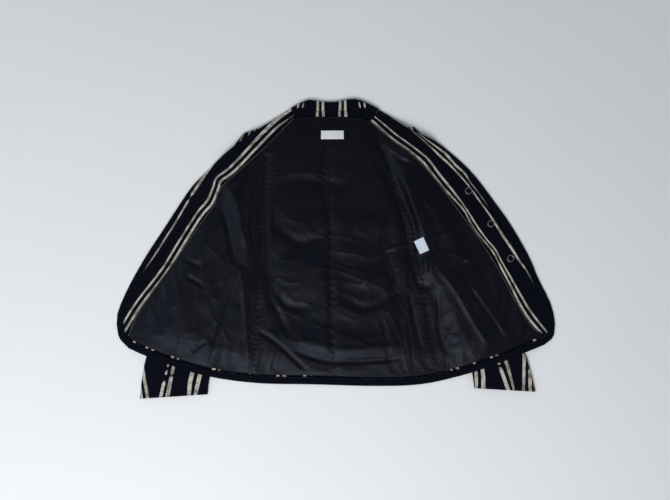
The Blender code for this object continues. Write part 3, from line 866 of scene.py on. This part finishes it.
def striped_tweed():
    """Navy tweed with pairs of ribbed metallic stripes, with painted glints and painted sheen in the
    stripes' colour.
    """
    finish = Finish("striped_tweed", Specular_IOR_Level=0.10, Sheen_Weight=0.02)
    cloth, across, along = finish.cloth()
    width = finish.node("ShaderNodeAttribute", {"attribute_name": "stripe_width"}, output=2)
    ragged = (finish.noise(cloth, 700.0) - 0.5) * 0.0011
    phase = ((across + ragged) / REPEAT + 0.5).part() * REPEAT
    from_middle = abs(phase - REPEAT / 2)
    from_stripe = abs(from_middle - STRIPE_FROM_MIDDLE)
    inside = width * (STRIPE / 2) - from_stripe
    stripe = finish.step(inside, -0.0003, 0.0006) * (width * 6.0).limited()
    ribs = finish.step(ripple(along, RIB_PITCH), -0.95, 0.2)
    # Painted glints: small specks where the stripes' colour is lifted towards silver.
    glint = finish.step(finish.noise(cloth, 950.0), 0.34, 0.64)
    # Painted sheen: broad patches along the stripes, brighter or duller, that move their colour
    # between bronze and silver.
    patchy = finish.step(finish.noise(cloth, 60.0, 4.0), 0.34, 0.60)
    core = 1 - finish.step(from_stripe, 0.0003, 0.0010)
    shine = (0.38 + 0.62 * ribs) * (0.50 + 0.50 * glint) * (1 - 0.28 * core)
    metallic = finish.blend(shine * (0.16 + 0.84 * patchy), BRONZE, SILVER)
    ground = finish.blend(finish.noise(cloth, 420.0), NAVY_DEEP, NAVY)
    finish.show("Base Color", finish.blend(stripe, ground, metallic))
    finish.show("Roughness", 0.92 - 0.44 * stripe)
    finish.show("Metallic", 0.30 * stripe)
    nubs = finish.noise(cloth, 620.0)
    finish.bump(threads(across, along, TWEED_PITCH) + nubs, 0.00024)
    return finish.material


def lining_satin():
    """Near-black satin with a soft sheen and small dimples."""
    finish = Finish(
        "lining_satin", Specular_IOR_Level=0.19, Specular_Tint=(0.78, 0.82, 1.0, 1),
    )
    where = finish.in_place()
    _, _, along = finish.cloth()
    finish.show("Base Color", finish.blend(finish.noise(where, 14.0), SATIN, SATIN_WARM))
    finish.show("Roughness", 0.44 + 0.09 * finish.noise(where, 30.0))
    weft = ripple(along, WEFT_PITCH) * 0.015
    finish.bump(finish.noise(where, 110.0, 4.0) + weft, 0.00040)
    return finish.material


def label_tape(name, colour):
    """Finely woven tape without any print."""
    finish = Finish(name, Specular_IOR_Level=0.3)
    _, across, along = finish.cloth()
    where = finish.in_place()
    shade = darker(colour, 0.88)
    finish.show("Base Color", finish.blend(finish.noise(where, 900.0), shade, colour))
    finish.show("Roughness", 0.55 + 0.1 * finish.noise(where, 400.0))
    finish.bump(threads(across, along, TAPE_PITCH) * 0.5 + finish.noise(where, 300.0), 0.0001)
    return finish.material


def snap_metal(name, colour, roughness):
    """Metal with duller, worn patches."""
    finish = Finish(name, Metallic=1.0)
    where = finish.in_place()
    patchy = finish.noise(where, 700.0)
    finish.show("Base Color", finish.blend(patchy, darker(colour, 0.7), colour))
    finish.show("Roughness", roughness + 0.15 * patchy)
    return finish.material


def thread_finish(name, colour):
    """Sewing thread, uneven in colour from stitch to stitch."""
    finish = Finish(name, Specular_IOR_Level=0.3)
    where = finish.in_place()
    dull = darker(colour, 0.75)
    finish.show("Base Color", finish.blend(finish.noise(where, 2500.0), dull, colour))
    finish.show("Roughness", 0.6 + 0.1 * finish.noise(where, 1200.0))
    return finish.material


def floor_finish():
    finish = Finish("pale_floor", Specular_IOR_Level=0.2, Roughness=0.9)
    where = finish.in_place()
    finish.show("Base Color", finish.blend(finish.noise(where, 3.0), FLOOR_SHADE, FLOOR_PALE))
    return finish.material


def fold_heights(at):
    """Height that the listed folds give the lining at each place."""
    points = at[:, :2]
    heights = np.zeros(len(points))
    for fold in FOLDS:
        start, bend, end = fold[0:2], fold[2:4], fold[4:6]
        curve = smooth_route((start, bend, end), 5)
        beside, along = along_route(points, curve)
        length = sum((b - a).length for a, b in zip(curve, curve[1:]))
        fading = FOLD_FADE * length
        fade = ramp(along / fading) * ramp((length - along) / fading)
        heights += fold.height * MM * fade * bell(beside / (fold.half_width * MM))
    return heights


def crumple(at):
    """Uneven dimples and soft creases: across the back, down the fronts.

    One noise warps the other four, which are weighted in millimetres.
    """
    heights = np.zeros(len(at))
    for index, (x, y, _) in enumerate(at):
        front = within_one((abs(x - BACK_MIDDLE) - BACK_HALF) / FRONT_SETS_IN)
        down = 1.15 - 0.5 * front
        wide = 0.62 + 0.5 * front
        warp = noise.noise((9 * x, 7 * y, 3.1))
        broad = noise.noise((21 * wide * x + 0.9 * warp, 21 * down * y, 0.4))
        middle = noise.noise((50 * wide * x + 1.3 * warp, 50 * down * y - warp, 5.2))
        fine = noise.noise((120 * wide * x, 120 * down * y + 2 * warp, 9.7))
        crease = 1 - abs(noise.noise((30 * wide * x - warp, 30 * down * y + warp, 12.3)))
        calm = 1 - 0.60 * (1 - front) * within_one((y - CALM_FROM) / CALM_OVER)
        heights[index] = calm * (
            (3.0 - 0.6 * front) * broad + (0.35 + 0.45 * front) * middle + 0.14 * fine
            + 0.9 * crease**6
        )
    return heights * MM


def pucker(at, seam, gather):
    """Share of the folds that a seam leaves, and the small gathers that run off it."""
    beside, along = along_route(at[:, :2], [point.xy for point in seam])
    away = np.abs(beside)
    slow, quick = RISE_TURNS
    uneven = 0.65 + 0.35 * np.sin(along * slow + 1.0) * np.sin(along * quick)
    turn = (along + gather.slant * away) / gather.pitch
    waves = np.maximum(np.sin(2 * pi * turn + 1.7 * np.sin(along * WANDER_TURNS)), 0.0)
    held = 1 - gather.held * np.exp(-((beside / HELD_REACH) ** 2))
    return held, gather.height * uneven * waves * np.exp(-away / gather.reach)


def meet(sheet, others):
    """Brings a panel's edge past the middle of its gap to those beside it: a shut seam."""
    for vert in sheet.verts:
        if vert.is_boundary:
            near, _, gap = min((tree.find((*vert.co.xy, 0)) for tree in others), key=lambda n: n[2])
            if gap < SEAM_REACH:
                vert.co.xy = vert.co.xy.lerp(near.xy, SEAM_SHARE)


def level_seams(sheets):
    """Brings the panels to one height along their seams, with a soft slope beside them."""
    edges = {
        node: [vert.co.copy() for vert in sheet.verts if vert.is_boundary]
        for node, sheet in sheets.items()
    }
    trees = {node: tree_of(points) for node, points in edges.items()}
    for node, sheet in sheets.items():
        seam, rises = [], []
        for point in edges[node]:
            near = []
            for other, tree in trees.items():
                if other != node:
                    _, index, gap = tree.find((point.x, point.y, 0))
                    near.append((gap, edges[other][index].z))
            gap, height = min(near)
            if gap < SEAM_REACH:
                seam.append(point)
                rises.append((height - point.z) / 2)
        along = tree_of(seam)
        for vert in sheet.verts:
            found = along.find_n((vert.co.x, vert.co.y, 0), SEAM_NEIGHBOURS)
            rise = sum(rises[index] for _, index, _ in found) / len(found)
            vert.co.z += rise * bell(found[0][2] / SEAM_SLOPE)


def lining_rim(edges, trees):
    """Tree of the lining's outer edge, where it meets the facings and the hem."""
    outer = []
    for node, points in edges.items():
        others = [tree for name, tree in trees.items() if name != node]
        outer += [p for p in points if min(flat_gap(tree, p) for tree in others) > SEAM_REACH]
    return tree_of(outer)


def linings(finish):
    """Satin lining: panels with their folds, dimples, and gathers at the seams."""
    nodes = [cut.node for cut in CUTS if cut.slot == "satin"]
    edges = {node: edge_points(node, SEAM_STEP) for node in nodes}
    trees = {node: tree_of(points) for node, points in edges.items()}
    rim = lining_rim(edges, trees)
    seams = [(gather, seam_between(gather.node, gather.beside)) for gather in GATHERS]
    sheets = {}
    for node in nodes:
        sheets[node] = sheet = upper_side(node)
        refine(sheet, LINING_CELLS)
        at = places(sheet)
        inside = np.array([flat_gap(rim, point) for point in at])
        relief = VALLEY_ROOM * ramp(inside / ROOM_RIM)
        relief += FOLD_SHARE * fold_heights(at) * ramp(inside / FOLD_RIM)
        relief += crumple(at) * ramp(inside / CRUMPLE_RIM)
        relief = VALLEY_SOFTNESS * np.logaddexp(0, relief / VALLEY_SOFTNESS)
        relief *= ramp(inside / CRUMPLE_RIM)
        gathers = np.zeros(len(at))
        for gather, seam in seams:
            if len(seam) > 1:
                held, waves = pucker(at, seam, gather)
                relief *= held
                gathers += waves
        lift(sheet, relief + gathers * ramp(inside / CRUMPLE_RIM))
    level_seams(sheets)
    surfaces = {}
    for node, sheet in sheets.items():
        meet(sheet, [tree for name, tree in trees.items() if name != node])
        roll_rim(sheet, SATIN_RIM)
        surfaces[node] = BVHTree.FromBMesh(sheet)
        name = node.replace("lining_", "") + "_lining"
        make_cloth(name, sheet, CUT_OF[node], finish, crisp=True)
    return surfaces


def tuck_under(sheet, surfaces):
    """Keeps a cloth below the lining that lies on it, in the lining's narrow valleys too."""
    steps = ((0, 0), (1, 0), (-1, 0), (0, 1), (0, -1))
    around = [Vector((x * UNDER_REACH, y * UNDER_REACH, 0)) for x, y in steps]
    for vert in sheet.verts:
        for surface in surfaces.values():
            hits = [surface_at(surface, vert.co + step) for step in around]
            if hits[0]:
                low = min(hit.z for hit in hits if hit)
                vert.co.z = min(vert.co.z, low - UNDER_LINING)


def shells(finish, surfaces):
    """Outer cloth, facings, sleeves, collar and the edge band."""
    for cut in CUTS:
        if cut.slot not in ("tweed", "band"):
            continue
        small = min(cut.width, cut.length) < NARROW or "sleeve" in cut.node
        sheet = upper_side(cut.node)
        refine(sheet, TRIM_CELLS if small else SHELL_CELLS)
        if "sleeve" in cut.node:
            cut_finer(sheet, CUFF_CELL, CUFF_TOP)
        if "shell" in cut.node:
            tuck_under(sheet, surfaces)
        if cut.node in ("collar", "neck_facing"):
            bmesh.ops.scale(sheet, vec=(NECK_WIDENING, 1, 1), verts=sheet.verts)
        roll_rim(sheet, RIM)
        make_cloth(cut.node + "_cloth", sheet, cut, finish)


def stitch_row(stitching, seam, surface, finish):
    """Row of small hand stitches just inside a seam of the lining."""
    row = bmesh.new()
    spare = 0.0
    for start, end in zip(seam, seam[1:]):
        way = end - start
        inward = Vector((-way.y, way.x, 0)).normalized() * stitching.inward * MM
        if surface_at(surface, start.lerp(end, 0.5) + inward) is None:
            inward = -inward
        turn = Euler((0, 0, Vector((1, 0)).angle_signed(way.xy) * -1))
        while spare < way.length:
            spot = surface_at(surface, start.lerp(end, spare / way.length) + inward)
            if spot is not None:
                place = Matrix.LocRotScale(spot, turn, STITCH_SHAPE * stitching.size * MM)
                bmesh.ops.create_icosphere(row, subdivisions=1, radius=1.0, matrix=place)
            spare += stitching.pitch * MM
        spare -= way.length
    add_piece(stitching.name, row, finish)


def sew(surfaces, threads_of):
    """Rows of stitches along the facings and the neck, each in the thread of its tone."""
    for stitching in STITCHES:
        seam = seam_between(stitching.node, stitching.beside)
        if len(seam) > 1:
            stitch_row(stitching, seam, surfaces[stitching.node], threads_of[stitching.tone])


def labels(surfaces, white, blue):
    """Bare woven tapes that lie on the lining."""
    for node, finish in (("label_neck", white), ("label_care", blue)):
        sheet = upper_side(node)
        refine(sheet, LABEL_CELLS)
        for vert in sheet.verts:
            hits = [surface_at(surface, vert.co) for surface in surfaces.values()]
            tops = [hit.z for hit in hits if hit]
            vert.co.z = max(tops + [vert.co.z]) + LABEL_GAP
        even_out(sheet)
        make_cloth(node + "_tape", sheet, CUT_OF[node], finish)


def turned(outlines, middle, base):
    """Snap part turned from outlines of radius and height, each with its finish."""
    part = bmesh.new()
    for finish, outline in outlines:
        verts = [part.verts.new((middle[0] + r * MM, middle[1], base + h * MM)) for r, h in outline]
        edges = [part.edges.new(ends) for ends in zip(verts, verts[1:])]
        before = set(part.faces)
        bmesh.ops.spin(
            part, geom=verts + edges, cent=(*middle, base), axis=(0, 0, 1), angle=2 * pi,
            steps=SNAP_STEPS, use_merge=True,
        )
        for face in set(part.faces) - before:
            face.material_index = finish
    bmesh.ops.remove_doubles(part, verts=part.verts, dist=MERGE)
    bmesh.ops.recalc_face_normals(part, faces=part.faces)
    return part


def snaps(metal, dark):
    """Sockets as thin rings with a dark dish, and studs with a ball at the middle."""
    for node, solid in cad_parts.items():
        if not node.startswith("snap_"):
            continue
        corners = np.array([corner[:] for corner in solid.bound_box])
        middle = tuple((corners.min(axis=0) + corners.max(axis=0))[:2] / 2)
        outlines = SOCKET if "socket" in node else STUD
        part = turned(outlines, middle, corners[:, 2].min())
        piece = add_piece(node + "_turned", part, metal, dark)
        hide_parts(node)


def lay_floor():
    """Pale floor, just under the garment."""
    bpy.ops.mesh.primitive_plane_add(size=FLOOR_SIZE, location=(0, 0, FLOOR_HEIGHT))
    floor = bpy.context.object
    floor.name = "floor"
    floor.data.materials.append(floor_finish())


def add_light(lamp):
    """Square soft lamp that points at its aim."""
    area = bpy.data.lights.new(lamp.name, "AREA")
    area.size = lamp.size
    area.energy = lamp.power
    area.color = lamp.colour
    light = bpy.data.objects.new(lamp.name, area)
    light.location = lamp.place
    way = Vector(lamp.aim) - Vector(lamp.place)
    light.rotation_euler = way.to_track_quat("-Z", "Y").to_euler()
    bpy.context.scene.collection.objects.link(light)


def set_camera():
    """Camera that looks steeply down from the hem's side."""
    camera = bpy.data.cameras.new("camera")
    camera.sensor_width = SENSOR
    camera.lens = SENSOR * DISTANCE / VIEW_WIDTH
    eye = bpy.data.objects.new("camera", camera)
    lean = radians(ELEVATION)
    back = Vector((0, -cos(lean), sin(lean)))
    eye.location = AIM + back * DISTANCE
    eye.rotation_euler = (-back).to_track_quat("-Z", "Y").to_euler()
    bpy.context.scene.collection.objects.link(eye)
    bpy.context.scene.camera = eye


def set_light():
    """Soft window beyond the hem, low pale walls beside it and weak light all round."""
    world = bpy.data.worlds.new("studio")
    world.use_nodes = True
    sky = world.node_tree.nodes["Background"]
    sky.inputs["Color"].default_value = SKY
    sky.inputs["Strength"].default_value = SKY_STRENGTH
    bpy.context.scene.world = world
    bpy.context.scene.view_settings.view_transform = "Standard"
    for lamp in LAMPS:
        add_light(lamp)


def clear_scene():
    """Takes the first scene's own cube, lamp and camera out."""
    for thing in ("Cube", "Light", "Camera"):
        if thing in bpy.data.objects:
            bpy.data.objects.remove(bpy.data.objects[thing])


def main():
    clear_scene()
    surfaces = linings(lining_satin())
    shells(striped_tweed(), surfaces)
    sew(surfaces, {
        "beige": thread_finish("beige_thread", THREAD_BEIGE),
        "grey": thread_finish("grey_thread", THREAD_GREY),
    })
    labels(
        surfaces, label_tape("neck_label", TAPE_WHITE), label_tape("care_label", TAPE_BLUE),
    )
    snaps(snap_metal("snap_metal", SNAP_RIM, 0.3), snap_metal("snap_dark", SNAP_DISH, 0.45))
    lay_floor()
    set_camera()
    set_light()


main()
